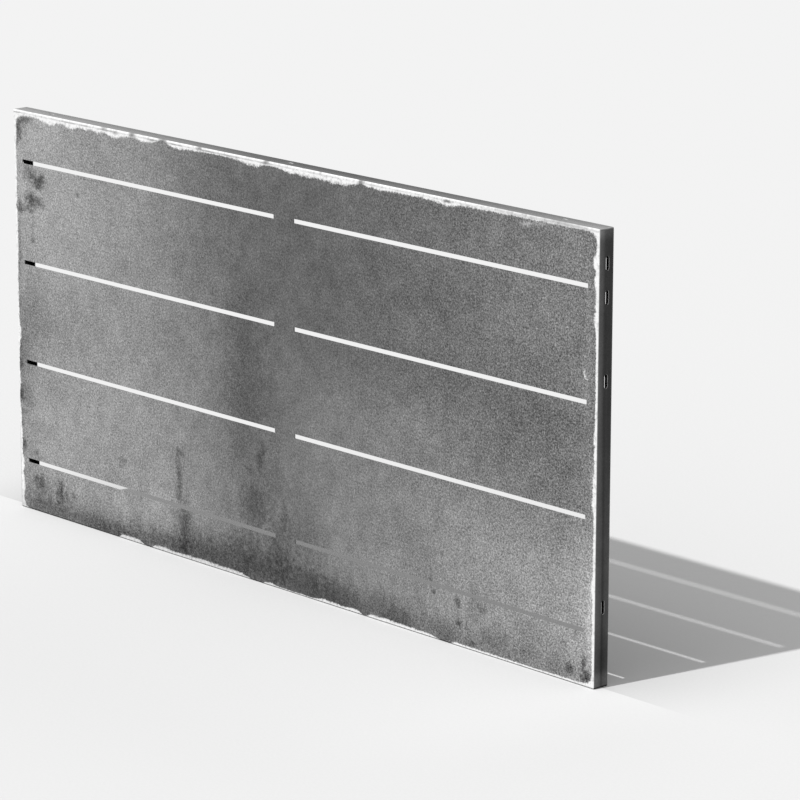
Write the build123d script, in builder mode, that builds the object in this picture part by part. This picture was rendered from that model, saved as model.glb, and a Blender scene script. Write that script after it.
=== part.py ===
from build123d import *
import os

# Weathering steel screen panel: one sheet, slotted across its face and folded back on all four
# sides into a shallow tray. Each side has a flange with bolt slots and a return lip behind it,
# and the four corners of the tray are welded and ground to the radius of the bends.
#
# Frame: X runs along the panel, Y through it from the face (-Y) to the open back (+Y), Z is up.
# Origin: centre of the bottom flange's underside.

os.makedirs("parts", exist_ok=True)

# ---------------------------------------------------------------- driving dimensions, mm

panel_length = 1920.0
panel_height = 960.0
panel_depth = 41.0
sheet = 2.0
bend_inside_radius = 1.5
lip_width = 20.0  # from the outside of the flange to the free edge of its lip
mitre_gap = 1.0  # open seam between two lips at a corner

# Long slots through the face, in rows of two with a bridge of sheet between them.
face_slot_rows = 4
face_slot_height = 10.0
face_slot_end_margin = 32.0
face_slot_bridge = 66.0
face_slot_corner_radius = 1.0

# Upright bolt slots in the left and right flanges, a little behind the middle of their depth.
side_slot_length = 30.0
side_slot_width = 10.0
side_slot_setback = 2.0
side_slots_below_top = (72.0, 142.0, 315.0)
side_slot_above_bottom = 171.0

# Short bolt slots along the top and bottom flanges, two near the ends and one in the middle.
edge_slot_length = 16.0
edge_slot_width = 10.0
edge_slot_from_end = 121.0

# ---------------------------------------------------------------- sizes that follow

bend = bend_inside_radius + sheet  # outside radius of every bend and corner
flat_length = panel_length - 2 * bend
flat_height = panel_height - 2 * bend
flange_depth = panel_depth - bend  # from the face to where the back bend starts
front = -panel_depth / 2
back = panel_depth / 2
end = panel_length / 2

face_slot_length = end - face_slot_end_margin - face_slot_bridge / 2
face_slot_spacing = face_slot_length + face_slot_bridge
row_pitch = panel_height / face_slot_rows

side_slot_heights = [panel_height - drop for drop in side_slots_below_top]
side_slot_heights.append(side_slot_above_bottom)
edge_slot_place = end - edge_slot_from_end

# A lip's slanted end stands back from the mitre line by half the gap, measured square to it.
mitre_setback = mitre_gap / 2**0.5

mid_length = Plane.YZ
mid_height = Plane.XY.offset(panel_height / 2)


def write(piece, label):
    """Names a finished piece and writes it as one STEP file."""
    piece.part.label = label
    export_step(piece.part, f"parts/{label}.step")


# ---------------------------------------------------------------- the folded tray

# The flanges, lips and corners are cut from this one shell, so that they meet exactly.
with BuildPart() as tray_inside:
    with Locations((0, 0, sheet)):
        Box(
            panel_length - 2 * sheet,
            panel_depth - 2 * sheet,
            panel_height - 2 * sheet,
            align=(Align.CENTER, Align.CENTER, Align.MIN),
        )
    fillet(tray_inside.edges(), bend_inside_radius)

with BuildPart() as tray:
    Box(panel_length, panel_depth, panel_height, align=(Align.CENTER, Align.CENTER, Align.MIN))
    fillet(tray.edges(), bend)
    add(tray_inside.part, mode=Mode.SUBTRACT)
    # The open back, inside the free edges of the lips.
    with BuildSketch(Plane.XZ.offset(-back)):
        with Locations((0, panel_height / 2)):
            Rectangle(panel_length - 2 * lip_width, panel_height - 2 * lip_width)
    extrude(amount=bend, mode=Mode.SUBTRACT)

# ---------------------------------------------------------------- slotted face

with BuildPart() as slotted_face:
    with BuildSketch(Plane.XZ.offset(-front)):
        with Locations((0, panel_height / 2)):
            Rectangle(flat_length, flat_height)
            with GridLocations(face_slot_spacing, row_pitch, 2, face_slot_rows):
                RectangleRounded(
                    face_slot_length,
                    face_slot_height,
                    face_slot_corner_radius,
                    mode=Mode.SUBTRACT,
                )
    extrude(amount=-sheet)
write(slotted_face, "slotted_face")

# ---------------------------------------------------------------- flanges, each with its front bend

with BuildPart() as top_flange:
    add(tray.part)
    with Locations((0, front, panel_height)):
        Box(
            flat_length,
            flange_depth,
            bend,
            align=(Align.CENTER, Align.MIN, Align.MAX),
            mode=Mode.INTERSECT,
        )
    with BuildSketch(Plane.XY.offset(panel_height)):
        with Locations((-edge_slot_place, 0), (0, 0), (edge_slot_place, 0)):
            SlotOverall(edge_slot_length, edge_slot_width)
    extrude(amount=-bend, mode=Mode.SUBTRACT)
write(top_flange, "top_flange")

with BuildPart() as bottom_flange:
    mirror(top_flange.part, about=mid_height)
write(bottom_flange, "bottom_flange")

with BuildPart() as right_flange:
    add(tray.part)
    with Locations((end, front, panel_height / 2)):
        Box(
            bend,
            flange_depth,
            flat_height,
            align=(Align.MAX, Align.MIN, Align.CENTER),
            mode=Mode.INTERSECT,
        )
    with BuildSketch(Plane.YZ.offset(end)):
        with Locations(*[(side_slot_setback, height) for height in side_slot_heights]):
            SlotOverall(side_slot_length, side_slot_width, rotation=90)
    extrude(amount=-bend, mode=Mode.SUBTRACT)
write(right_flange, "right_flange")

with BuildPart() as left_flange:
    mirror(right_flange.part, about=mid_length)
write(left_flange, "left_flange")

# ---------------------------------------------------------------- return lips, each with its back bend


def lip_outline(half_span, outer, inner):
    """Half of a lip seen from behind, as (along, up) points from its middle to its mitred end."""
    return [
        (0, outer),
        (half_span - bend, outer),
        (half_span - bend, outer - bend),
        (half_span - bend - mitre_setback, outer - bend),
        (half_span - lip_width - mitre_setback, inner),
        (0, inner),
    ]


half_height = panel_height / 2

with BuildPart() as top_lip:
    add(tray.part)
    with BuildSketch(Plane.XZ.offset(-back)):
        with BuildLine():
            Polyline(*lip_outline(end, panel_height, panel_height - lip_width), close=True)
        make_face()
        mirror(about=Plane.YZ)
    extrude(amount=bend, mode=Mode.INTERSECT)
write(top_lip, "top_return_lip")

with BuildPart() as bottom_lip:
    mirror(top_lip.part, about=mid_height)
write(bottom_lip, "bottom_return_lip")

with BuildPart() as right_lip:
    add(tray.part)
    with BuildSketch(Plane.XZ.offset(-back)):
        with BuildLine():
            side_points = [
                (across, half_height + along)
                for along, across in lip_outline(half_height, end, end - lip_width)
            ]
            Polyline(*side_points, close=True)
        make_face()
        mirror(about=Plane.XZ.offset(-half_height))
    extrude(amount=bend, mode=Mode.INTERSECT)
write(right_lip, "right_return_lip")

with BuildPart() as left_lip:
    mirror(right_lip.part, about=mid_length)
write(left_lip, "left_return_lip")

# ---------------------------------------------------------------- welded corners

with BuildPart() as top_right_corner:
    add(tray.part)
    with Locations((end, 0, panel_height)):
        Box(
            bend,
            panel_depth,
            bend,
            align=(Align.MAX, Align.CENTER, Align.MAX),
            mode=Mode.INTERSECT,
        )
write(top_right_corner, "top_right_corner_weld")

with BuildPart() as top_left_corner:
    mirror(top_right_corner.part, about=mid_length)
write(top_left_corner, "top_left_corner_weld")

with BuildPart() as bottom_right_corner:
    mirror(top_right_corner.part, about=mid_height)
write(bottom_right_corner, "bottom_right_corner_weld")

with BuildPart() as bottom_left_corner:
    mirror(bottom_right_corner.part, about=mid_length)
write(bottom_left_corner, "bottom_left_corner_weld")
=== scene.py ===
# %% [markdown]
# # A steel screen panel, finished in Blender
#
# The object is a shallow tray of folded sheet steel: a front sheet with four rows of two long slots, a
# flange folded back on each side, a narrow lip folded inwards behind each flange, and a weld in each
# corner. Its shape comes from the CAD model, exact to the millimetre, so nothing here bends or cuts
# metal. The work that is left for Blender is the surface: steel that has stood outdoors until its skin is
# grainy, clouded and stained, and that has been rubbed bright wherever it was folded.

# %% Load the frame
import math

import bpy
from mathutils import Matrix, Vector


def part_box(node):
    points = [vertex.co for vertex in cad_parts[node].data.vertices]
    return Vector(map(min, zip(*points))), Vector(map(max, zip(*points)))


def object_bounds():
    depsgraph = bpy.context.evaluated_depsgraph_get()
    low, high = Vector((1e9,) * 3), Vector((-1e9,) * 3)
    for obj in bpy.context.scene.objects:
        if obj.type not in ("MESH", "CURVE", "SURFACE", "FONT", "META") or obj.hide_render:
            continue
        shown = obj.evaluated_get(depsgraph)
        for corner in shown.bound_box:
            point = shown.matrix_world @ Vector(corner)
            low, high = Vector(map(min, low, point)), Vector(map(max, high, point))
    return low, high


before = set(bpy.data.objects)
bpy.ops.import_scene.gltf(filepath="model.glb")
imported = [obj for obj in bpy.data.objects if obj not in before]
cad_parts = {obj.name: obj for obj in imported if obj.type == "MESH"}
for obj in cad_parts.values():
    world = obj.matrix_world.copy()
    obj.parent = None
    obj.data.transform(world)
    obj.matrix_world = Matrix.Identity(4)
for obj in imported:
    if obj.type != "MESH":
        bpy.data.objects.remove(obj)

cad_low, cad_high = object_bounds()
print("CAD nodes:", ", ".join(sorted(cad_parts)))
print("CAD box:", [round(v, 4) for v in cad_low], [round(v, 4) for v in cad_high])

# %% [markdown]
# ## The panel's own measures
#
# Every mark on the surface is placed by its distance from the panel's edges, so the edges are read from
# the CAD nodes once, here. A node's mesh already sits in the shared frame, in metres: X runs along the
# panel, the face looks towards -Y, and Z is up from the underside. Object coordinates in a material are
# therefore metres in the same frame.

# %% Read the edges from the nodes
LEFT, FRONT, BOTTOM = cad_low
RIGHT, BACK, TOP = cad_high
face_low, face_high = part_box("slotted_face")
BEND = RIGHT - face_high.x                       # outside radius of the folds
SHEET = face_high.y - face_low.y                 # thickness of the steel
print(f"panel {RIGHT - LEFT:.3f} x {TOP - BOTTOM:.3f} x {BACK - FRONT:.3f} m,"
      f" fold radius {BEND * 1000:.1f} mm, sheet {SHEET * 1000:.1f} mm")

# %% [markdown]
# ## The camera
#
# The panel is seen from its front right, from a little above, through a long lens, so that its long edges
# run almost parallel. A camera looks down its own -Z with +Y up. Its three axes are worked out from a
# turn about the vertical, a downward tilt and a hair of roll, and written into its matrix directly, which
# avoids any doubt about the order of Euler angles.

# %% Place the camera
CAMERA_AT = Vector((6.4182, -5.5903, 2.5332))    # metres, in the panel's frame
CAMERA_TURN = math.radians(47.3427)
CAMERA_TILT = math.radians(13.8689)
CAMERA_ROLL = math.radians(0.0791)
LENS_MM = 179.71
SENSOR_MM = 36.0


def camera_axes(turn, tilt, roll):
    """The camera's right, up and forward directions."""
    forward = Vector((-math.sin(turn) * math.cos(tilt),
                      math.cos(turn) * math.cos(tilt),
                      -math.sin(tilt)))
    level = Vector((math.cos(turn), math.sin(turn), 0.0))
    upright = level.cross(forward)
    right = math.cos(roll) * level + math.sin(roll) * upright
    up = math.cos(roll) * upright - math.sin(roll) * level
    return right, up, forward


right, up, forward = camera_axes(CAMERA_TURN, CAMERA_TILT, CAMERA_ROLL)
camera_data = bpy.data.cameras.new("camera")
camera_data.sensor_width = SENSOR_MM
camera_data.lens = LENS_MM
camera = bpy.data.objects.new("camera", camera_data)
bpy.context.scene.collection.objects.link(camera)
turned = Matrix((right, up, -forward)).transposed().to_4x4()
camera.matrix_world = Matrix.Translation(CAMERA_AT) @ turned
bpy.context.scene.camera = camera
print("camera looks along", [round(v, 3) for v in forward])

# %% [markdown]
# ## Light, world and floor
#
# One broad lamp does the work of a low sun, from the front, a little to the left and about fifty degrees
# up. It throws the panel's shadow backwards and lets four thin strips of light fall through the slots. A
# lamp with a small angle keeps the edge of the shadow crisp at the panel's foot and softens it with
# distance. The world is an even pale grey that lifts the shadow. The floor's own grey is chosen so that
# lamp and world together make it exactly as bright as the world behind it, and floor and background run
# into each other with no horizon.

# %% Hang the lamp
LIGHT_TRAVEL = Vector((0.157, 0.836, -1.0)).normalized()
LAMP_STRENGTH = 4.1
LAMP_ANGLE = math.radians(1.2)
WORLD_GREY = 0.879
FLOOR_GREY = 0.478

lamp_data = bpy.data.lights.new("lamp", "SUN")
lamp_data.energy = LAMP_STRENGTH
lamp_data.angle = LAMP_ANGLE
lamp = bpy.data.objects.new("lamp", lamp_data)
lamp.rotation_mode = "QUATERNION"
lamp.rotation_quaternion = LIGHT_TRAVEL.to_track_quat("-Z", "Y")
bpy.context.scene.collection.objects.link(lamp)

world = bpy.data.worlds.new("pale_surroundings")
world.use_nodes = True
background = world.node_tree.nodes["Background"]
background.inputs["Color"].default_value = (WORLD_GREY,) * 3 + (1.0,)
background.inputs["Strength"].default_value = 1.0
bpy.context.scene.world = world
bpy.context.scene.view_settings.view_transform = "Standard"
print("lamp elevation", round(math.degrees(math.asin(-LIGHT_TRAVEL.z)), 1), "degrees")

# %% [markdown]
# ## Writing materials as short recipes
#
# A procedural material is a tree of nodes. Built by hand in the editor it is quick to draw and slow to
# read, so here a few helpers make each node in one line. `node` makes any node, sets its properties and
# wires or fills its sockets. `maths` is the calculator, and gives back a socket, so that sums can be
# nested like ordinary arithmetic. `between` is a smooth ramp, which is how one tone fades into another.

# %% Node helpers
def node(tree, kind, sockets=None, **settings):
    """Makes a node. A socket's value is either a number or another node's output."""
    made = tree.nodes.new(kind)
    for name, value in settings.items():
        setattr(made, name, value)
    for name, value in (sockets or {}).items():
        if isinstance(value, bpy.types.NodeSocket):
            tree.links.new(value, made.inputs[name])
        else:
            made.inputs[name].default_value = value
    return made


def maths(tree, operation, first, second=0.0, third=0.0, clamp=False):
    """One sum on single numbers."""
    sockets = {0: first, 1: second, 2: third}
    return node(tree, "ShaderNodeMath", sockets, operation=operation, use_clamp=clamp).outputs[0]


def add(tree, first, second):
    return maths(tree, "ADD", first, second)


def times(tree, first, second):
    return maths(tree, "MULTIPLY", first, second)


def minus(tree, first, second):
    return maths(tree, "SUBTRACT", first, second)


def total(tree, first, *others):
    """All of them added up."""
    for other in others:
        first = add(tree, first, other)
    return first


def product(tree, first, *others):
    """All of them multiplied."""
    for other in others:
        first = times(tree, first, other)
    return first


def between(tree, value, low, high, out_low=0.0, out_high=1.0):
    """Moves smoothly from out_low to out_high as value goes from low to high."""
    sockets = {"Value": value, "From Min": low, "From Max": high,
               "To Min": out_low, "To Max": out_high}
    made = node(tree, "ShaderNodeMapRange", sockets, interpolation_type="SMOOTHSTEP")
    return made.outputs["Result"]


def blend(tree, amount, first, second):
    """first where amount is 0, second where it is 1."""
    sockets = {"Factor": amount, "A": first, "B": second}
    return node(tree, "ShaderNodeMix", sockets, data_type="FLOAT").outputs["Result"]


print("node helpers ready")

# %% [markdown]
# ## The floor
#
# The floor is one plain quad, so large that its edge is never in sight, with a matt material and a faint
# speck so that it isn't dead flat. A dark panel takes light away from the ground at its foot. Light is
# painted into the floor's colour against that: it is a shade paler just in front of the panel, to keep the
# ground there even, and a painted shadow makes it a shade darker just behind it, where the shadow is deepest.

# %% Floor material
PAINTED_LIGHT_IN_FRONT, FRONT_REACH = 0.09, 0.9          # share of the grey, and metres from the panel
PAINTED_SHADOW_BEHIND, BEHIND_REACH = 0.17, 0.7
END_INSIDE, END_OUTSIDE = 0.1, 0.3               # metres before and past the panel's ends, where it fades
SPECKS_PER_METRE = 160.0
SPECK_DEPTH = 0.015


def floor_painted_light(tree, x, y):
    """1 far away, more in front of the panel as painted light, and less behind it as painted shadow."""
    along = between(tree, maths(tree, "ABSOLUTE", x), RIGHT - END_INSIDE, RIGHT + END_OUTSIDE, 1.0, 0.0)
    # painted light in front of the panel and a painted shadow behind it, laid into the floor's grey
    painted_light = times(tree, between(tree, y, FRONT - FRONT_REACH, FRONT, 0.0, PAINTED_LIGHT_IN_FRONT),
                  maths(tree, "LESS_THAN", y, 0.0))
    painted_shadow = times(tree, between(tree, y, BACK, BACK + BEHIND_REACH, PAINTED_SHADOW_BEHIND, 0.0),
                   maths(tree, "GREATER_THAN", y, 0.0))
    return add(tree, 1.0, times(tree, along, minus(tree, painted_light, painted_shadow)))


def floor_material():
    material = bpy.data.materials.new("pale_floor")
    material.use_nodes = True
    tree = material.node_tree
    shader = tree.nodes["Principled BSDF"]
    shader.inputs["Specular IOR Level"].default_value = 0.0
    shader.inputs["Roughness"].default_value = 1.0
    where = node(tree, "ShaderNodeTexCoord").outputs["Object"]
    split = node(tree, "ShaderNodeSeparateXYZ", {"Vector": where})
    shade = floor_painted_light(tree, split.outputs["X"], split.outputs["Y"])
    speck = node(tree, "ShaderNodeTexNoise", {"Vector": where, "Scale": SPECKS_PER_METRE, "Detail": 2.0})
    grey = between(tree, speck.outputs["Fac"], 0.2, 0.8,
                   FLOOR_GREY * (1.0 - SPECK_DEPTH), FLOOR_GREY * (1.0 + SPECK_DEPTH))
    tree.links.new(times(tree, shade, grey), shader.inputs["Base Color"])
    return material


pale_floor = floor_material()
print(pale_floor.name, len(pale_floor.node_tree.nodes), "nodes")

# %% [markdown]
# The quad itself needs four corners and one face. It lies at Z = 0, where the panel's underside stands.

# %% Floor quad
FLOOR_REACH = 90.0
CORNERS = ((-1, -1), (1, -1), (1, 1), (-1, 1))

floor_mesh = bpy.data.meshes.new("floor")
floor_mesh.from_pydata([(x * FLOOR_REACH, y * FLOOR_REACH, 0.0) for x, y in CORNERS], [], [(0, 1, 2, 3)])
floor_mesh.materials.append(pale_floor)
floor = bpy.data.objects.new("floor", floor_mesh)
bpy.context.scene.collection.objects.link(floor)
print("floor", 2 * FLOOR_REACH, "m square")

# %% [markdown]
# ## Where a point is on the panel
#
# Almost every mark depends on a distance: how far in from a folded edge, how deep inside the tray. These
# recipes give such distances as sockets. `place` splits object coordinates into X, Y and Z. `edge_depths`
# measures inwards from one folded edge of the front: it is zero on the very corner of the fold, grows
# across the face, and goes negative on the flange behind it, so that one number runs smoothly round the
# bend and through the joint between two CAD nodes.

# %% Distances
INSIDE_FROM, INSIDE_TO = 0.62, 0.85              # how far into the sheet the outside turns into the inside


def place(tree):
    """Object coordinates whole, and as three single numbers."""
    where = node(tree, "ShaderNodeTexCoord").outputs["Object"]
    split = node(tree, "ShaderNodeSeparateXYZ", {"Vector": where})
    return where, split.outputs["X"], split.outputs["Y"], split.outputs["Z"]


def edge_depths(tree, x, y, z):
    """Distance in from the top, right, bottom and left edge of the front, in metres."""
    behind = minus(tree, y, FRONT)
    inwards = {
        "top": minus(tree, TOP, z),
        "right": minus(tree, RIGHT, x),
        "bottom": minus(tree, z, BOTTOM),
        "left": minus(tree, x, LEFT),
    }
    return {edge: minus(tree, depth, behind) for edge, depth in inwards.items()}


def inside_tray(tree, x, y, z):
    """0 on the outer skin, 1 on every surface that lies inside the fold."""
    skins = ((RIGHT, x), (x, LEFT), (TOP, z), (z, BOTTOM), (y, FRONT), (BACK, y))
    depth = 1.0
    for far, near in skins:
        depth = maths(tree, "MINIMUM", depth, minus(tree, far, near))
    return between(tree, depth, SHEET * INSIDE_FROM, SHEET * INSIDE_TO)


print("distance recipes ready")

# %% [markdown]
# ## Curves drawn from tables, and cut walls
#
# Some things follow no formula: how wide the worn band is at each place, or how pale the sheet is from
# one end to the other. A float curve node holds such a line as a list of points, just as if it had been
# drawn with the mouse, and `curve` fills one from a table. `cut_walls` finds the walls that a cutter left.
# In a flange they are the only surfaces that stand square to it, so the surface normal gives them away.

# %% Curves and cut walls
SQUARE_TO_AXIS = 0.4                             # a wall's normal has less than this along the flange's axis
BEND_MARGIN = 0.001                              # metres kept clear of each bend


def curve(tree, value, points, low, high, handles="AUTO"):
    """A value read off a curve drawn through (position, value) points."""
    made = node(tree, "ShaderNodeFloatCurve")
    line = made.mapping.curves[0]
    while len(line.points) < len(points):
        line.points.new(0.5, 0.5)
    for point, (position, level) in zip(line.points, sorted(points)):
        point.location = ((position - low) / (high - low), level)
        point.handle_type = handles
    made.mapping.update()
    along = node(tree, "ShaderNodeMapRange", {"Value": value, "From Min": low, "From Max": high})
    tree.links.new(along.outputs["Result"], made.inputs["Value"])
    return made.outputs["Value"]


def cut_walls(tree, axis, y):
    """1 on the walls that a cutter left in a flange, which stand square to the flange's own axis."""
    normal = node(tree, "ShaderNodeNewGeometry").outputs["True Normal"]
    across = node(tree, "ShaderNodeSeparateXYZ", {"Vector": normal}).outputs[axis]
    square = maths(tree, "LESS_THAN", maths(tree, "ABSOLUTE", across), SQUARE_TO_AXIS)
    clear_of_bend = maths(tree, "GREATER_THAN", y, FRONT + BEND + BEND_MARGIN)
    clear_of_lip = maths(tree, "LESS_THAN", y, BACK - BEND - BEND_MARGIN)
    return times(tree, square, times(tree, clear_of_bend, clear_of_lip))


print("curve and cut wall recipes ready")

# %% [markdown]
# ## Noise at the sizes that steel has
#
# Weathered steel shows three sizes of unevenness at once. The skin has a grain a few millimetres across,
# left by scale and fine rust. Over that lie clouds as wide as a hand. Water adds streaks, which are
# clouds pulled out along one axis. All three are one noise texture at different scales, centred on
# zero so that adding it changes the tone without lightening or darkening the whole sheet.

# %% Noise recipes
NOISE_LOW, NOISE_HIGH = 0.25, 0.75               # a noise texture seldom leaves this range
OFFSET_TURN = (1.0, 0.7, 1.3)                    # one number moves a noise along all three axes


def noise(tree, where, size, detail=2.0, stretch=None, offset=0.0):
    """Noise from about -1 to 1, whose patches are about `size` metres across."""
    if stretch or offset:
        moved = node(tree, "ShaderNodeMapping", {"Vector": where})
        moved.inputs["Scale"].default_value = stretch or (1.0, 1.0, 1.0)
        moved.inputs["Location"].default_value = [offset * turn for turn in OFFSET_TURN]
        where = moved.outputs["Vector"]
    texture = node(tree, "ShaderNodeTexNoise",
                   {"Vector": where, "Scale": 1.0 / size, "Detail": detail, "Roughness": 0.5})
    sockets = {"Value": texture.outputs["Fac"], "From Min": NOISE_LOW, "From Max": NOISE_HIGH, "To Min": -1.0}
    return node(tree, "ShaderNodeMapRange", sockets, clamp=False).outputs["Result"]


def uneven(tree, where, size, depth, detail=2.0, stretch=None, offset=0.0):
    """Noise of that size as a change of tone, of up to `depth` either way."""
    return times(tree, noise(tree, where, size, detail, stretch, offset), depth)


GRAIN_SIZE, GRAIN_SHARE = 0.0042, 0.75
FINE_GRAIN_SIZE, FINE_GRAIN_SHARE = 0.0019, 0.5


def grain(tree, where):
    """The fine speckle of the skin."""
    coarse = uneven(tree, where, GRAIN_SIZE, GRAIN_SHARE, 1.0)
    fine = uneven(tree, where, FINE_GRAIN_SIZE, FINE_GRAIN_SHARE, 0.0, offset=3.0)
    return add(tree, coarse, fine)


print(f"grain {GRAIN_SIZE * 1000:.1f} mm and {FINE_GRAIN_SIZE * 1000:.1f} mm")

# %% [markdown]
# ## Edges rubbed bright
#
# A folded edge stands proud, so it is what hands, straps and the next panel rub against. The scale on it
# cracks when the sheet is bent and wears away first, and the steel shows through almost white. Along the
# top the worn band is wide and ragged. Down the right side it is narrow with a few swellings, and along
# the bottom it fades out towards the left. Each band has a width that changes along the edge. A noise
# alone would make it equally ragged everywhere, so the widths are drawn as tables of places and
# widths, like a line drawn along the edge with a pencil.

# %% Widths of the worn bands, in metres along each edge
TOP_WEAR = [(-0.960, 0.014), (-0.895, 0.011), (-0.860, 0.012), (-0.842, 0.017), (-0.820, 0.020), (-0.800, 0.016),
            (-0.788, 0.012), (-0.770, 0.012), (-0.760, 0.018), (-0.735, 0.019), (-0.712, 0.013), (-0.690, 0.014),
            (-0.660, 0.012), (-0.645, 0.015), (-0.630, 0.014), (-0.618, 0.010), (-0.606, 0.017), (-0.588, 0.019),
            (-0.566, 0.017), (-0.550, 0.012), (-0.530, 0.011), (-0.514, 0.009), (-0.500, 0.012), (-0.470, 0.013),
            (-0.438, 0.011), (-0.426, 0.006), (-0.412, 0.001), (-0.402, 0.004), (-0.390, 0.011), (-0.366, 0.013),
            (-0.349, 0.015), (-0.322, 0.012), (-0.290, 0.010), (-0.230, 0.009), (-0.171, 0.010), (-0.144, 0.012),
            (-0.120, 0.016), (-0.085, 0.017), (-0.070, 0.012), (-0.055, 0.009), (-0.015, 0.010), (0.012, 0.015),
            (0.060, 0.016), (0.120, 0.016), (0.170, 0.018), (0.210, 0.016), (0.232, 0.014), (0.250, 0.007),
            (0.266, 0.011), (0.310, 0.012), (0.430, 0.011), (0.484, 0.012), (0.496, 0.015), (0.520, 0.016),
            (0.542, 0.013), (0.556, 0.010), (0.640, 0.009), (0.850, 0.008), (0.930, 0.008), (0.960, 0.012)]
RIGHT_WEAR = [(0.000, 0.010), (0.050, 0.007), (0.110, 0.008), (0.190, 0.008), (0.206, 0.011), (0.228, 0.011),
              (0.240, 0.008), (0.370, 0.008), (0.386, 0.012), (0.445, 0.011), (0.465, 0.008), (0.510, 0.008),
              (0.520, 0.011), (0.534, 0.010), (0.545, 0.008), (0.620, 0.007), (0.740, 0.008), (0.752, 0.009),
              (0.762, 0.012), (0.772, 0.014), (0.784, 0.012), (0.791, 0.009), (0.803, 0.012), (0.812, 0.010),
              (0.836, 0.010), (0.846, 0.015), (0.858, 0.015), (0.866, 0.011), (0.874, 0.009), (0.882, 0.016),
              (0.892, 0.018), (0.902, 0.015), (0.909, 0.009), (0.930, 0.008), (0.946, 0.010), (0.960, 0.014)]
BOTTOM_WEAR = [(-0.960, 0.009), (-0.945, 0.005), (-0.925, 0.001), (-0.590, 0.001), (-0.575, 0.009), (-0.540, 0.010),
               (-0.510, 0.008), (-0.492, 0.001), (-0.468, 0.001), (-0.456, 0.009), (-0.420, 0.010), (-0.390, 0.008),
               (-0.330, 0.010), (-0.240, 0.010), (-0.150, 0.009), (-0.130, 0.005), (-0.115, 0.001), (-0.080, 0.001),
               (-0.065, 0.007), (-0.045, 0.007), (-0.030, 0.004), (0.100, 0.004), (0.122, 0.009), (0.165, 0.008),
               (0.190, 0.006), (0.215, 0.009), (0.242, 0.008), (0.252, 0.002), (0.266, 0.002), (0.280, 0.008),
               (0.330, 0.009), (0.470, 0.007), (0.492, 0.003), (0.502, 0.001), (0.530, 0.001), (0.548, 0.007),
               (0.620, 0.006), (0.800, 0.006), (0.930, 0.007), (0.960, 0.012)]
LEFT_WEAR = [(0.000, 0.016), (0.030, 0.012), (0.046, 0.015), (0.076, 0.014), (0.086, 0.010), (0.096, 0.015),
             (0.118, 0.014), (0.132, 0.009), (0.160, 0.009), (0.178, 0.013), (0.196, 0.009), (0.240, 0.008),
             (0.262, 0.004), (0.286, 0.004), (0.302, 0.008), (0.340, 0.005), (0.380, 0.006), (0.404, 0.008),
             (0.418, 0.013), (0.440, 0.012), (0.452, 0.008), (0.560, 0.007), (0.640, 0.009), (0.718, 0.009),
             (0.732, 0.004), (0.746, 0.009), (0.860, 0.009), (0.920, 0.010), (0.960, 0.015)]
print(len(TOP_WEAR) + len(RIGHT_WEAR) + len(BOTTOM_WEAR) + len(LEFT_WEAR), "widths along the four edges")

# %% [markdown]
# ## How far into the band
#
# A float curve holds values from 0 to 1, so the widths go in as shares of the widest one. Each depth
# divided by its width gives a number that is under 1 inside the band. Joined with a smooth minimum, the
# four meet in round corners. Two noises then shift that number a little: lobes the size of a thumb, and
# crumbs the size of the grain.

# %% Share of the band's width
WIDEST_WEAR = 0.024
JOIN_SOFTNESS = 2.6
LOBE_SIZE, LOBE_DEPTH = 0.016, 0.13
CRUMB_SIZE, CRUMB_DEPTH = 0.0045, 0.17


def wear_width(tree, position, points, low, high):
    """The band's width at this position along its edge."""
    levels = [(at, width / WIDEST_WEAR) for at, width in points]
    return times(tree, curve(tree, position, levels, low, high, "VECTOR"), WIDEST_WEAR)


def share_of_band(tree, where, depth, x, z):
    """Under 1 inside the worn band, and over 1 on the whole skin, with a torn boundary."""
    width = {
        "top": wear_width(tree, x, TOP_WEAR, LEFT, RIGHT),
        "right": wear_width(tree, z, RIGHT_WEAR, BOTTOM, TOP),
        "bottom": wear_width(tree, x, BOTTOM_WEAR, LEFT, RIGHT),
        "left": wear_width(tree, z, LEFT_WEAR, BOTTOM, TOP),
    }
    shares = [maths(tree, "DIVIDE", depth[edge], width[edge]) for edge in ("top", "right", "bottom", "left")]
    share = shares[0]
    for other in shares[1:]:
        share = maths(tree, "SMOOTH_MIN", share, other, JOIN_SOFTNESS)
    lobes = uneven(tree, where, LOBE_SIZE, LOBE_DEPTH)
    crumbs = uneven(tree, where, CRUMB_SIZE, CRUMB_DEPTH, 1.0, offset=7.0)
    return add(tree, share, add(tree, lobes, crumbs))


print("widest worn band", WIDEST_WEAR * 1000, "mm")

# %% [markdown]
# ## The outer side of the band, and the line in the fold
#
# Wear stops soon after the sheet turns the corner, at a slightly different place on each edge. Low down
# on the left, a thread of skin is left on the very outside of the fold. Along the top, a few millimetres
# in from the edge, the wear is held back along a thin line, so a broken dark line runs along the bright
# band, clearer at the left than at the right.

# %% Outer side and dark line
OUTER_FADE = {"top": (-0.0030, 0.0002), "right": (-0.0004, 0.0022),
              "left": (-0.0012, 0.0012), "bottom": (0.0002, 0.0030)}
THREAD_WIDTH = 0.0030
THREAD_FROM, THREAD_TO = 0.17, 0.24              # height where the thread of skin ends
DARK_LINE_AT, DARK_LINE_HALF = 0.0060, 0.0026          # depth from the top edge, and half its width


def turned_corner(tree, depth, z):
    """1 on the front, 0 where the fold has turned away from it."""
    thread = between(tree, z, THREAD_FROM, THREAD_TO, -THREAD_WIDTH, 0.0)
    measured = dict(depth, left=add(tree, depth["left"], thread))
    fades = [between(tree, measured[edge], *OUTER_FADE[edge]) for edge in ("top", "right", "left", "bottom")]
    return product(tree, *fades)


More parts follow.
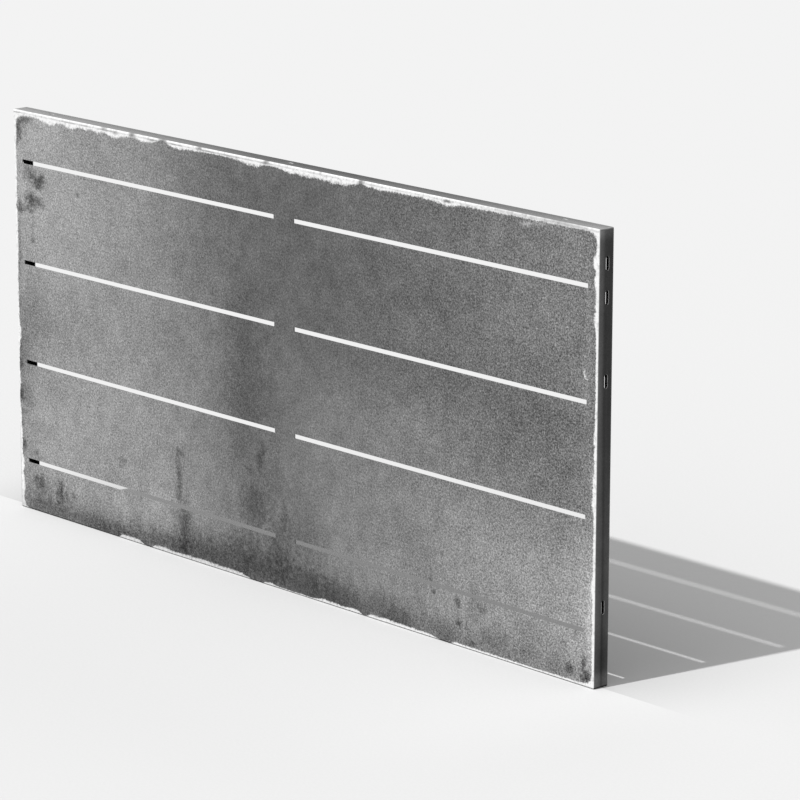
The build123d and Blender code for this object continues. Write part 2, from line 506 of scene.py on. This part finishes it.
def clear_of_dark_line(tree, where, depth, x):
    """1 away from the dark line, less in its dashes."""
    off_line = maths(tree, "ABSOLUTE", minus(tree, depth["top"], DARK_LINE_AT))
    line = between(tree, off_line, DARK_LINE_HALF * 0.25, DARK_LINE_HALF, 1.0, 0.0)
    clearer_left = between(tree, x, -0.35, 0.15, 1.0, 0.35)
    dashes = between(tree, noise(tree, where, 0.050, offset=2.0), -0.35, 0.45, 0.25, 0.80)
    return minus(tree, 1.0, product(tree, dashes, clearer_left, line))


print("crease", DARK_LINE_AT * 1000, "mm in from the top edge")

# %% [markdown]
# ## The mask of bare steel
#
# All of it multiplied together is one mask. Even well inside the band a little skin stays on in places,
# and the band along the bottom is thinner rubbed towards the left, so the mask isn't 1 everywhere there.

# %% The worn mask
BAND_INNER_FROM, BAND_INNER_TO = 0.76, 1.22      # share of the band's width where it fades out
LEFT_OVER_SIZE = 0.008


def worn(tree, where, x, y, z):
    """1 where the steel is rubbed bright, 0 where its skin is whole."""
    depth = edge_depths(tree, x, y, z)
    share = share_of_band(tree, where, depth, x, z)
    inner = between(tree, share, BAND_INNER_FROM, BAND_INNER_TO, 1.0, 0.0)
    outer = turned_corner(tree, depth, z)
    left_over = between(tree, noise(tree, where, LEFT_OVER_SIZE, offset=13.0), -0.65, 0.05, 0.66, 1.0)
    thin_low = blend(tree, between(tree, z, 0.02, 0.05), between(tree, x, -0.20, 0.50, 0.72, 1.0), 1.0)
    rubbed = times(tree, times(tree, inner, outer), times(tree, left_over, thin_low))
    return times(tree, rubbed, clear_of_dark_line(tree, where, depth, x))


print("band fades out from", BAND_INNER_FROM, "to", BAND_INNER_TO, "of its width")

# %% [markdown]
# ## Stains
#
# Between the bright edges the face carries dark marks: blots where something lay against it, runs where
# rust water dried, and a dirty strip along the bottom where splashes reach. Each is an ellipse in a list
# with its centre, half width, half height and darkness. The list is short enough to read and to move
# marks about in. One node group draws them all: it measures how far a point is from the centre as a
# share of the ellipse, adds noise, and fades out, so that no mark has a drawn outline.

# %% One smudge as a node group
SMUDGE_CORE, SMUDGE_RIM = 0.05, 1.55             # shares of the ellipse between which a smudge fades
MARK_SOCKETS = ("Centre X", "Centre Z", "Half Width", "Half Height", "Darkness")


def smudge_group():
    tree = bpy.data.node_groups.new("smudge", "ShaderNodeTree")
    for name in ("X", "Z", "Ragged") + MARK_SOCKETS:
        tree.interface.new_socket(name, in_out="INPUT", socket_type="NodeSocketFloat")
    tree.interface.new_socket("Shade", in_out="OUTPUT", socket_type="NodeSocketFloat")
    given = node(tree, "NodeGroupInput").outputs
    across = maths(tree, "DIVIDE", minus(tree, given["X"], given["Centre X"]), given["Half Width"])
    along = maths(tree, "DIVIDE", minus(tree, given["Z"], given["Centre Z"]), given["Half Height"])
    reach = maths(tree, "SQRT", add(tree, times(tree, across, across), times(tree, along, along)))
    cover = between(tree, add(tree, reach, given["Ragged"]), SMUDGE_CORE, SMUDGE_RIM, 1.0, 0.0)
    result = node(tree, "NodeGroupOutput")
    tree.links.new(times(tree, cover, given["Darkness"]), result.inputs["Shade"])
    return tree


SMUDGE = smudge_group()
print(SMUDGE.name, len(SMUDGE.nodes), "nodes")

# %% [markdown]
# A list of marks becomes a chain of that group, one after another, each darkening what is left. Before
# that, the places themselves are pushed about a little by `wander`, so that even the ellipses' middles
# lose their neatness.

# %% Laying marks over each other
RAGGED_SIZE, RAGGED_DEPTH = 0.011, 0.42


def ragged_rim(tree, where):
    """What breaks up the outline of a mark."""
    return uneven(tree, where, RAGGED_SIZE, RAGGED_DEPTH, 3.0, offset=11.0)


def wander(tree, where, x, z, size, reach):
    """Moves X and Z about by up to `reach`, so that what is drawn with them loses its neat outline."""
    across = add(tree, x, uneven(tree, where, size, reach, offset=21.0))
    along = add(tree, z, uneven(tree, where, size, reach, offset=37.0))
    return across, along


def smudges(tree, across, along, ragged, marks):
    """All the marks of a list laid over each other: 1 where the steel is clean, less where it is dark."""
    clean = 1.0
    for measures in marks:
        mark = node(tree, "ShaderNodeGroup", node_tree=SMUDGE)
        for name, value in (("X", across), ("Z", along), ("Ragged", ragged)):
            tree.links.new(value, mark.inputs[name])
        for name, value in zip(MARK_SOCKETS, measures):
            mark.inputs[name].default_value = value
        clean = times(tree, clean, minus(tree, 1.0, mark.outputs["Shade"]))
    return clean


print("ragged by", RAGGED_SIZE * 1000, "mm")

# %% [markdown]
# The marks themselves, in metres on the front. Blots are small and dark. Runs are upright and faint.
# Splashes lie along the foot. `SKIN_LEFT` is the other way round: islands of whole skin that rubbing has
# missed in the bright band. `PALE_MARKS` are scuffs, which make the steel lighter.

# %% The marks
# centre x, centre z, half width, half height, darkness
BLOTS = [
    (-0.943, 0.915, 0.014, 0.036, 0.38), (-0.922, 0.938, 0.034, 0.012, 0.32), (-0.928, 0.918, 0.022, 0.022, 0.12),
    (-0.898, 0.815, 0.026, 0.020, 0.32), (-0.872, 0.796, 0.026, 0.017, 0.46), (-0.858, 0.806, 0.014, 0.010, 0.25),
    (-0.902, 0.757, 0.020, 0.012, 0.36), (-0.882, 0.746, 0.032, 0.015, 0.36),
    (-0.936, 0.729, 0.012, 0.013, 0.42), (-0.912, 0.731, 0.014, 0.008, 0.30), (-0.893, 0.727, 0.010, 0.008, 0.24),
    (-0.895, 0.655, 0.008, 0.006, 0.26), (-0.722, 0.790, 0.007, 0.006, 0.22),
    (-0.948, 0.277, 0.013, 0.020, 0.45), (-0.952, 0.350, 0.008, 0.020, 0.30), (-0.940, 0.235, 0.010, 0.009, 0.22),
    (-0.950, 0.160, 0.013, 0.020, 0.48), (-0.951, 0.210, 0.008, 0.018, 0.30), (-0.952, 0.400, 0.007, 0.016, 0.30),
    (-0.893, 0.145, 0.010, 0.008, 0.20), (-0.875, 0.135, 0.012, 0.006, 0.16),
    (-0.885, 0.074, 0.026, 0.017, 0.30), (-0.800, 0.080, 0.006, 0.022, 0.34), (-0.806, 0.062, 0.014, 0.024, 0.28),
    (-0.782, 0.058, 0.008, 0.016, 0.26), (-0.757, 0.065, 0.009, 0.009, 0.22), (-0.572, 0.183, 0.019, 0.012, 0.22),
    (-0.080, 0.282, 0.015, 0.022, 0.22), (-0.122, 0.255, 0.014, 0.011, 0.22), (-0.105, 0.170, 0.050, 0.038, 0.20),
    (-0.078, 0.310, 0.010, 0.014, 0.18), (-0.102, 0.205, 0.022, 0.030, 0.16), (-0.022, 0.095, 0.040, 0.060, 0.20),
    (0.000, 0.172, 0.014, 0.030, 0.16),
    (0.481, 0.107, 0.007, 0.005, 0.42), (0.551, 0.097, 0.013, 0.012, 0.38), (0.562, 0.049, 0.010, 0.007, 0.34),
    (0.467, 0.131, 0.007, 0.010, 0.22), (0.472, 0.156, 0.006, 0.006, 0.18), (0.632, 0.098, 0.018, 0.015, 0.20),
    (0.603, 0.200, 0.013, 0.006, 0.16), (0.500, 0.196, 0.009, 0.006, 0.14), (0.595, 0.012, 0.014, 0.007, 0.38),
    (0.883, 0.026, 0.013, 0.013, 0.40), (0.932, 0.048, 0.006, 0.020, 0.40), (0.934, 0.020, 0.012, 0.015, 0.50),
]
RUNS = [
    (-0.892, 0.680, 0.005, 0.034, 0.16), (-0.944, 0.640, 0.007, 0.090, 0.16), (-0.363, 0.246, 0.016, 0.008, 0.30),
    (-0.367, 0.190, 0.011, 0.050, 0.30), (-0.368, 0.148, 0.013, 0.016, 0.22), (-0.346, 0.078, 0.015, 0.055, 0.30),
    (-0.350, 0.020, 0.024, 0.030, 0.20), (-0.132, 0.480, 0.060, 0.200, 0.12), (-0.120, 0.250, 0.070, 0.260, 0.10),
    (-0.040, 0.200, 0.050, 0.200, 0.08), (0.060, 0.190, 0.060, 0.100, 0.06), (-0.620, 0.150, 0.020, 0.050, 0.06),
    (-0.935, 0.385, 0.030, 0.050, 0.14), (-0.930, 0.275, 0.028, 0.030, 0.16), (-0.880, 0.460, 0.080, 0.060, 0.10),
    (0.300, 0.575, 0.400, 0.075, 0.07), (0.760, 0.575, 0.300, 0.080, 0.08), (0.070, 0.130, 0.060, 0.060, 0.12),
    (-0.350, 0.070, 0.034, 0.060, 0.14), (-0.860, 0.070, 0.090, 0.030, 0.10), (-0.880, 0.200, 0.050, 0.030, 0.07),
]
SPLASHES = [
    (-0.870, 0.022, 0.090, 0.026, 0.24), (-0.700, 0.015, 0.140, 0.026, 0.26), (-0.600, 0.010, 0.100, 0.022, 0.24),
    (-0.420, 0.018, 0.140, 0.034, 0.26), (-0.250, 0.026, 0.140, 0.050, 0.26), (-0.090, 0.030, 0.120, 0.070, 0.24),
    (0.060, 0.026, 0.120, 0.055, 0.26), (0.180, 0.020, 0.090, 0.036, 0.22), (0.370, 0.018, 0.050, 0.026, 0.26),
    (0.510, 0.022, 0.060, 0.026, 0.16), (0.660, 0.028, 0.050, 0.022, 0.14), (0.850, 0.020, 0.120, 0.022, 0.08),
]
SKIN_LEFT = [
    (-0.622, 0.958, 0.012, 0.007, 0.80), (-0.519, 0.957, 0.013, 0.012, 0.95), (-0.580, 0.952, 0.013, 0.004, 0.75),
    (-0.410, 0.958, 0.017, 0.014, 0.98), (-0.455, 0.953, 0.014, 0.003, 0.70), (-0.283, 0.958, 0.012, 0.007, 0.85),
    (-0.057, 0.957, 0.010, 0.008, 0.75), (0.251, 0.956, 0.011, 0.012, 0.85), (0.516, 0.953, 0.014, 0.004, 0.85),
    (0.120, 0.957, 0.006, 0.006, 0.40), (0.860, 0.958, 0.080, 0.0035, 0.55), (0.690, 0.958, 0.100, 0.002, 0.35),
    (0.800, 0.957, 0.150, 0.007, 0.34),
]
PALE_MARKS = [
    (0.923, 0.661, 0.003, 0.008, 0.26), (0.926, 0.652, 0.004, 0.005, 0.24), (0.932, 0.646, 0.005, 0.003, 0.24),
    (0.752, 0.941, 0.018, 0.008, 0.20), (0.800, 0.946, 0.030, 0.006, 0.12), (0.930, 0.700, 0.012, 0.200, 0.05),
    (0.945, 0.150, 0.010, 0.090, 0.10), (0.945, 0.440, 0.008, 0.060, 0.07), (-0.930, 0.560, 0.012, 0.060, 0.05),
]
print(len(BLOTS), "blots,", len(RUNS), "runs,", len(SPLASHES), "splashes,",
      len(SKIN_LEFT), "islands of skin,", len(PALE_MARKS), "scuffs")

# %% [markdown]
# ## From a tone to a reflectance
#
# It is easiest to think of a surface by how light it looks, from 0 for black to 1 for white. A shader
# wants the share of light that it reflects, which is a steeper scale: the eye's half way is only about a
# fifth. `reflectance` makes that change, and divides by how much light falls on that side of the panel,
# so that a tone in these recipes is the tone that shows.

# %% Tones
LIGHT_ON = {"face": 1.68, "top": 1.86, "side": 0.87, "back": 0.88}
EYE_POWER = 2.2
DARKEST_TONE, BRIGHTEST_COLOUR = 0.02, 0.9


def reflectance(tree, tone, side):
    """The base colour that looks as light as `tone` on that side of the panel."""
    bright = maths(tree, "POWER", maths(tree, "MAXIMUM", tone, DARKEST_TONE), EYE_POWER)
    return maths(tree, "MINIMUM", maths(tree, "DIVIDE", bright, LIGHT_ON[side]), BRIGHTEST_COLOUR)


print("light on each side:", LIGHT_ON)

# %% [markdown]
# ## Skin and bare steel in one shader
#
# Every finish ends in the same few wires. The skin is matt and not metallic. Bare steel is pale,
# smoother and a little metallic, and slightly cloudy. The bright mask chooses between them, socket by
# socket, and the grain is used twice more: as a change of roughness, and as relief through a bump node.

# %% The finish that all the steel shares
SKIN_GLOSS = 0.22
SKIN_ROUGHNESS, BARE_ROUGHNESS, ROUGHNESS_GRAIN = 0.74, 0.46, 0.05
BARE_STEEL, BARE_CLOUD_SIZE, BARE_CLOUD_DEPTH = 0.64, 0.011, 0.06
BARE_METALLIC = 0.30
RELIEF_STRENGTH = 0.35


def steel(name):
    """An empty material to fill in, with its tree and shader."""
    material = bpy.data.materials.new(name)
    material.use_nodes = True
    shader = material.node_tree.nodes["Principled BSDF"]
    shader.inputs["Specular IOR Level"].default_value = SKIN_GLOSS
    return material, material.node_tree, shader


def finish_steel(tree, shader, where, tone, side, bright, skin, lift):
    """Wires a finished tone, the bright mask and the skin's relief into the shader."""
    bare = add(tree, BARE_STEEL, uneven(tree, where, BARE_CLOUD_SIZE, BARE_CLOUD_DEPTH, offset=9.0))
    base = blend(tree, bright, reflectance(tree, tone, side), bare)
    rough = add(tree, blend(tree, bright, SKIN_ROUGHNESS, BARE_ROUGHNESS), times(tree, skin, ROUGHNESS_GRAIN))
    bump = node(tree, "ShaderNodeBump", {"Height": skin, "Strength": RELIEF_STRENGTH, "Distance": lift})
    tree.links.new(base, shader.inputs["Base Color"])
    tree.links.new(rough, shader.inputs["Roughness"])
    tree.links.new(times(tree, bright, BARE_METALLIC), shader.inputs["Metallic"])
    tree.links.new(bump.outputs["Normal"], shader.inputs["Normal"])


print("roughness", SKIN_ROUGHNESS, "on the skin,", BARE_ROUGHNESS, "on bare steel")

# %% [markdown]
# ## Inside the tray
#
# Behind the front sheet nothing rubs and little dries, so the skin there is softer, clouded, with faint
# upright runs where rain has come through the slots, and it lies in the tray's shade. The same recipe
# serves every surface inside the fold. `INSIDE_TONES` allows for the light that `reflectance` will divide
# by on each side. The lips' inner faces and the left flange's inside are set near black: painted shade.

# %% The skin inside
# The back tone, on the lips' inner faces, is painted shade, near black.
INSIDE_TONES = {"face": 0.47, "top": 0.48, "side": 0.34, "back": 0.06}
# The left flange's inside is painted near black as well: painted shade.
PAINTED_SHADE_TONE = 0.05                              # the left flange's inside, which the front light never reaches


def inside_skin(tree, where, level):
    """The tone of the surfaces behind the front sheet."""
    runs = uneven(tree, where, 0.018, 0.09, 3.0, stretch=(1.0, 1.0, 0.07), offset=27.0)
    blotches = uneven(tree, where, 0.028, 0.09, 3.0, offset=33.0)
    clouds = uneven(tree, where, 0.11, 0.12, 4.0, offset=31.0)
    speckle = times(tree, grain(tree, where), 0.10)
    return times(tree, level, add(tree, 1.0, total(tree, runs, blotches, clouds, speckle)))


print("inside tones:", INSIDE_TONES)

# %% [markdown]
# ## The front sheet
#
# The tone of the front is drawn as three curves along its length, one for each of three heights, and
# blended between them. It starts pale at the left, is darkest just left of the middle, and grows paler
# again towards the lower right corner. A fourth curve says how much of that tone is left at the foot,
# where splashes have darkened it. A few points are enough for each, because the detail comes later.

# %% Broad tones of the front
HIGH_TONES = [(-0.96, 0.63), (-0.85, 0.63), (-0.65, 0.57), (-0.45, 0.53), (-0.25, 0.42), (-0.10, 0.39),
              (0.05, 0.38), (0.40, 0.40), (0.75, 0.45), (0.96, 0.46)]
MIDDLE_TONES = [(-0.96, 0.52), (-0.85, 0.55), (-0.68, 0.56), (-0.46, 0.53), (-0.27, 0.47), (-0.16, 0.41),
                (-0.06, 0.41), (0.12, 0.44), (0.45, 0.46), (0.65, 0.44), (0.83, 0.43), (0.96, 0.48)]
LOW_TONES = [(-0.96, 0.55), (-0.78, 0.60), (-0.60, 0.58), (-0.46, 0.57), (-0.36, 0.53), (-0.15, 0.47),
             (0.05, 0.47), (0.28, 0.51), (0.40, 0.51), (0.65, 0.56), (0.82, 0.58), (0.96, 0.65)]
HIGH_AT, MIDDLE_AT, LOW_AT = 0.74, 0.45, 0.20
FOOT_SHARE = [(-0.96, 1.00), (-0.89, 0.88), (-0.60, 0.86), (-0.35, 0.86), (-0.15, 0.92), (0.00, 0.95),
              (0.10, 0.88), (0.20, 0.80), (0.30, 0.76), (0.38, 0.88), (0.60, 0.90), (0.96, 0.90)]
FOOT_FROM, FOOT_TO = 0.030, 0.095


def front_tone(tree, x, z):
    """The broad light and dark of the front, with no detail."""
    high = curve(tree, x, HIGH_TONES, LEFT, RIGHT)
    middle = curve(tree, x, MIDDLE_TONES, LEFT, RIGHT)
    low = curve(tree, x, LOW_TONES, LEFT, RIGHT)
    upper = blend(tree, between(tree, z, MIDDLE_AT, HIGH_AT), middle, high)
    tone = blend(tree, between(tree, z, LOW_AT, MIDDLE_AT), low, upper)
    foot = blend(tree, between(tree, z, FOOT_FROM, FOOT_TO), curve(tree, x, FOOT_SHARE, LEFT, RIGHT), 1.0)
    return times(tree, tone, foot)


print("tones from", min(level for at, level in HIGH_TONES), "to", max(level for at, level in LOW_TONES))

# %% [markdown]
# ## Everything on the front at once
#
# The order matters. First the broad tone with its clouds, patches and streaks, then the marks, which
# multiply it, then scuffs and grain, which are added. The grain is deeper in tone at the two ends. The
# bright band is cut by the islands of skin, and the surfaces inside the tray get their own skin.

# %% Front material
GRAIN_DEPTH = [(-0.96, 0.160), (-0.50, 0.145), (-0.25, 0.120), (0.05, 0.095), (0.40, 0.140), (0.96, 0.200)]
CLOUD_SIZE, CLOUD_DEPTH = 0.16, 0.026
PATCH_SIZE, PATCH_DEPTH = 0.035, 0.036
STREAK_SIZE, STREAK_LOW, STREAK_HIGH = 0.016, 0.045, 0.008
WANDER_SIZE, WANDER_REACH = 0.030, 0.007
FRONT_LIFT = 0.0004                              # metres of relief in the skin

front_steel, tree, shader = steel("worn_front_steel")
where, x, y, z = place(tree)
speckle = grain(tree, where)
ragged = ragged_rim(tree, where)
mark_x, mark_z = wander(tree, where, x, z, WANDER_SIZE, WANDER_REACH)

streaks = noise(tree, where, STREAK_SIZE, 3.0, stretch=(1.0, 1.0, 0.30), offset=17.0)
streaks = times(tree, streaks, between(tree, z, 0.05, 0.24, STREAK_LOW, STREAK_HIGH))
tone = total(tree, front_tone(tree, x, z),
             uneven(tree, where, CLOUD_SIZE, CLOUD_DEPTH, 3.0),
             uneven(tree, where, PATCH_SIZE, PATCH_DEPTH, 3.0, offset=5.0),
             streaks)
tone = times(tree, tone, smudges(tree, mark_x, mark_z, ragged, BLOTS + RUNS + SPLASHES))
scuffs = minus(tree, 1.0, smudges(tree, mark_x, mark_z, ragged, PALE_MARKS))
speckle_depth = curve(tree, x, GRAIN_DEPTH, LEFT, RIGHT)
tone = total(tree, tone, scuffs, times(tree, speckle, speckle_depth))

inner = inside_tray(tree, x, y, z)
tone = blend(tree, inner, tone, inside_skin(tree, where, INSIDE_TONES["face"]))
bright = product(tree, worn(tree, where, x, y, z),
                 smudges(tree, x, z, ragged, SKIN_LEFT),
                 minus(tree, 1.0, inner))
finish_steel(tree, shader, where, tone, "face", bright, speckle, FRONT_LIFT)
print(front_steel.name, len(tree.nodes), "nodes")

# %% [markdown]
# ## Flanges
#
# The four flanges are the same sheet folded back. The top one faces the sky and is nearly as pale as the
# front. The side ones see only half the light, and rain runs down them, so they carry soft stripes from
# front to back instead of clouds. The bolt slots are cut after the sheet has its skin, so their walls
# are clean steel; their pale tone is also a painted highlight, which shows as a fleck of light inside
# each hole. The foot of each flange carries a painted contact shadow. One recipe makes every flange, and
# is given the side's light and a small function for its tone.

# %% The recipe for a flange
# A painted contact shadow: every flange is darkened in its lowest few millimetres, where the panel meets the
# ground.
CONTACT_SHADOW_HEIGHT = 0.005                               # height of the dark line where the panel meets the ground
CONTACT_SHADOW_TONE = 0.15
FLANGE_PATCH_DEPTH, FLANGE_GRAIN_DEPTH = 0.014, 0.022
FLANGE_LIFT = 0.0003                             # metres of relief in the skin


def flange_material(name, side, tone_recipe, axis=None, cut_tone=0.0, inside_level=None):
    """A finish for one side. `axis` is given where slots are cut, and `cut_tone` is their walls' tone."""
    material, tree, shader = steel(name)
    where, x, y, z = place(tree)
    speckle = grain(tree, where)
    tone = total(tree, tone_recipe(tree, where, x, y, z),
                 uneven(tree, where, PATCH_SIZE, FLANGE_PATCH_DEPTH, 3.0, offset=5.0),
                 times(tree, speckle, FLANGE_GRAIN_DEPTH))
    # painted contact shadow along the foot
    tone = times(tree, tone, between(tree, z, CONTACT_SHADOW_HEIGHT * 0.2, CONTACT_SHADOW_HEIGHT, CONTACT_SHADOW_TONE, 1.0))
    bright = worn(tree, where, x, y, z)
    if side == "top":
        bright = times(tree, bright, smudges(tree, x, z, ragged_rim(tree, where), SKIN_LEFT))
    inner = inside_tray(tree, x, y, z)
    tone = blend(tree, inner, tone, inside_skin(tree, where, inside_level or INSIDE_TONES[side]))
    # Where slots are cut, their walls take cut_tone: clean steel, with a painted highlight in the pale tones.
    if axis:
        tone = blend(tree, cut_walls(tree, axis, y), tone, cut_tone)
    bright = times(tree, bright, minus(tree, 1.0, inner))
    finish_steel(tree, shader, where, tone, side, bright, speckle, FLANGE_LIFT)
    print(material.name, len(tree.nodes), "nodes")
    return material


# %% [markdown]
# ## The tones of the top and the sides
#
# The top flange is drawn like the front, pale at both ends and dark in the middle, with fine lines along
# its length. A side flange is drawn from front to back instead: it is lightest beside the fold, a painted
# reflection of the worn edge, and it has a dark stripe in the middle. Its tones as a whole are also set
# darker than the light on a side accounts for, which is painted shade. Two curves, one for its upper part
# and one for its lower part, are blended. The top end is a shade lighter, and the foot darker.

# %% Flange tones
TOP_TONES = [(-0.96, 0.610), (-0.80, 0.590), (-0.60, 0.560), (-0.45, 0.535), (-0.30, 0.490), (-0.20, 0.440),
             (-0.05, 0.385), (0.10, 0.375), (0.30, 0.400), (0.55, 0.450), (0.75, 0.500), (0.96, 0.590)]


def top_tone(tree, where, x, y, z):
    tone = curve(tree, x, TOP_TONES, LEFT, RIGHT)
    across = between(tree, y, FRONT + 0.005, BACK, 0.035, -0.05)
    return total(tree, tone, across, uneven(tree, where, 0.006, 0.03, stretch=(0.04, 1.0, 1.0)))


# Painted light in these tables: the high tones beside the fold are a painted reflection, and all of them are
# lowered by painted shade.
# share of the depth from front to back, tone
SIDE_HIGH = [(0.0, 0.31), (0.12, 0.29), (0.27, 0.25), (0.40, 0.18), (0.60, 0.17), (0.85, 0.17), (1.0, 0.19)]
SIDE_LOW = [(0.0, 0.30), (0.25, 0.27), (0.38, 0.24), (0.48, 0.18), (0.60, 0.22), (0.80, 0.25), (1.0, 0.26)]
LOW_ENDS, HIGH_STARTS = 0.25, 0.62               # metres up the side


def side_tone(tree, where, x, y, z):
    sockets = {"Value": y, "From Min": FRONT, "From Max": BACK}
    share = node(tree, "ShaderNodeMapRange", sockets).outputs["Result"]
    tone = blend(tree, between(tree, z, LOW_ENDS, HIGH_STARTS),
                 curve(tree, share, SIDE_LOW, 0.0, 1.0),
                 curve(tree, share, SIDE_HIGH, 0.0, 1.0))
    top_end = between(tree, z, 0.93, 0.955, 0.0, 0.10)
    foot = times(tree, between(tree, z, 0.020, 0.045, 0.04, -0.06), between(tree, z, 0.06, 0.14, 1.0, 0.0))
    return total(tree, tone, top_end, foot, uneven(tree, where, 0.008, 0.012, stretch=(1.0, 1.0, 0.03)))


print("side tones from", min(level for share, level in SIDE_HIGH), "to", SIDE_HIGH[0][1])

# %% [markdown]
# Four finishes come out of the one recipe. They differ in which way the slots are cut through, and in how
# pale the cut walls look in the light that reaches them.

# %% Flange materials
top_steel = flange_material("top_steel", "top", top_tone, "Z", 0.90)
side_steel = flange_material("side_steel", "side", side_tone, "X", 0.60)
left_steel = flange_material("left_steel", "side", side_tone, "X", 0.34, PAINTED_SHADE_TONE)
under_steel = flange_material("under_steel", "side", side_tone, "Z", 0.34)

# %% [markdown]
# ## Lips and corner welds
#
# Behind, the lips face away from the light and stay dull and even. The corners are closed with a weld
# that was ground back to shape. Grinding leaves fine scratches and a skin younger than the sheet's, so it
# is a shade lighter, streaked one way, and smoother. Its upward faces are painted lighter still: painted
# light, where the lamp falls on them.

# %% Lip and weld materials
LIP_TONE = 0.35
WELD_SIDE_TONE, WELD_TOP_TONE_WITH_PAINTED_LIGHT = 0.33, 0.47


def lip_tone(tree, where, x, y, z):
    clouds = uneven(tree, where, 0.12, 0.04, 3.0)
    runs = uneven(tree, where, 0.020, 0.025, stretch=(1.0, 1.0, 0.10), offset=4.0)
    return total(tree, LIP_TONE, clouds, runs)


def weld_tone(tree, where, x, y, z):
    normal = node(tree, "ShaderNodeNewGeometry").outputs["Normal"]
    upwards = node(tree, "ShaderNodeSeparateXYZ", {"Vector": normal}).outputs["Z"]
    # upward faces get the lighter tone: painted light
    level = between(tree, upwards, 0.3, 0.9, WELD_SIDE_TONE, WELD_TOP_TONE_WITH_PAINTED_LIGHT)
    scratches = uneven(tree, where, 0.0022, 0.035, stretch=(1.0, 0.12, 1.0), offset=8.0)
    blotches = uneven(tree, where, 0.009, 0.03, offset=6.0)
    return total(tree, level, scratches, blotches)


lip_steel = flange_material("lip_steel", "back", lip_tone)
weld_steel = flange_material("weld_steel", "side", weld_tone)

# %% [markdown]
# ## Every node gets its finish
#
# The CAD model brings one slot per node, so giving a node a finish means putting a material into that
# slot. Nothing is moved, and no mesh is changed.

# %% Put the finishes on
FINISHES = {
    "slotted_face": front_steel,
    "top_flange": top_steel,
    "bottom_flange": under_steel,
    "left_flange": left_steel,
    "right_flange": side_steel,
}
for edge in ("top", "bottom", "left", "right"):
    FINISHES[f"{edge}_return_lip"] = lip_steel
for corner in ("top_left", "top_right", "bottom_left", "bottom_right"):
    FINISHES[f"{corner}_corner_weld"] = weld_steel

for name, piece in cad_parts.items():
    for slot in piece.material_slots:
        slot.material = FINISHES[name]
    print(f"{name}: {FINISHES[name].name}, {len(piece.data.polygons)} faces")
